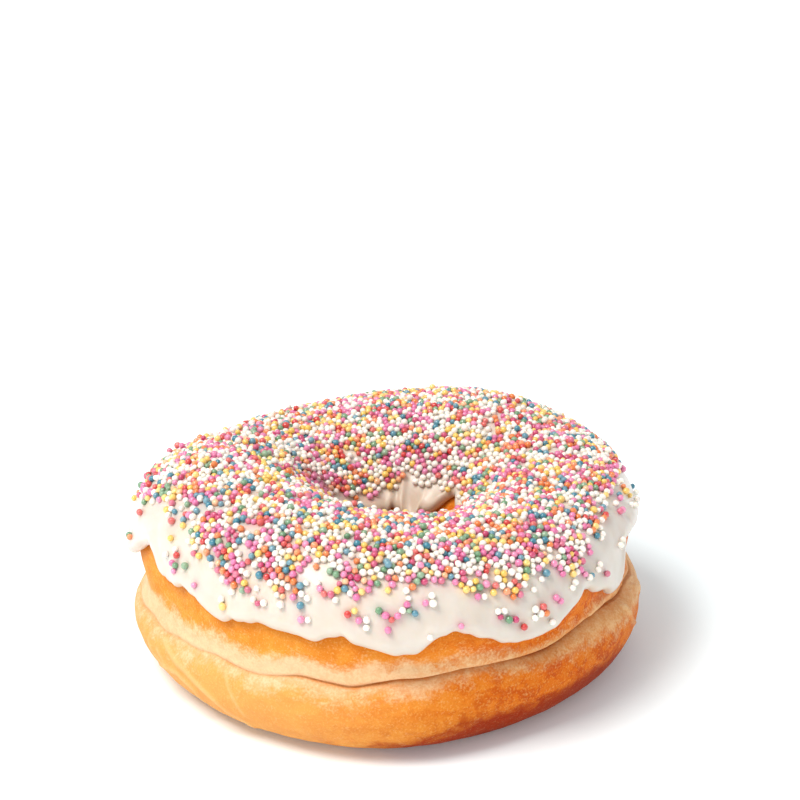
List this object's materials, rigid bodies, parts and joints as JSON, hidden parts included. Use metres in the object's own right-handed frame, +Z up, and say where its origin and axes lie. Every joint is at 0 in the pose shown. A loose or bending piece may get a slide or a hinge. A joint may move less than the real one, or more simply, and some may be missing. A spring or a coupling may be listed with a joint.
{
  "type": "sprinkle frosted doughnut",
  "caption": "Raised ring doughnut lying flat, with a pale waist line, a drape of white frosting with an uneven edge, and small round coloured sprinkles.",
  "frame": {"origin": "middle of the bounding box, on the flat underside", "axes": "+Z up through the hole; -Y towards the side with the widest run of frosting"},
  "size_m": [0.0944, 0.0946, 0.0402],
  "materials": {
    "fried_dough": "golden fried dough crust, satin, paler round the waist",
    "white_frosting": "set warm white sugar frosting, soft gloss",
    "sprinkle_white": "white sugar sprinkle, soft gloss",
    "sprinkle_pink": "pink sugar sprinkle, soft gloss",
    "sprinkle_rose": "deep rose sugar sprinkle, soft gloss",
    "sprinkle_red": "red sugar sprinkle, soft gloss",
    "sprinkle_orange": "orange sugar sprinkle, soft gloss",
    "sprinkle_yellow": "yellow sugar sprinkle, soft gloss",
    "sprinkle_green": "green sugar sprinkle, soft gloss",
    "sprinkle_blue": "teal blue sugar sprinkle, soft gloss",
    "sprinkle_peach": "peach sugar sprinkle, soft gloss"
  },
  "bodies": {
    "root": {"dough_ring": "fried_dough", "frosting": "white_frosting"}
  },
  "joints": []
}
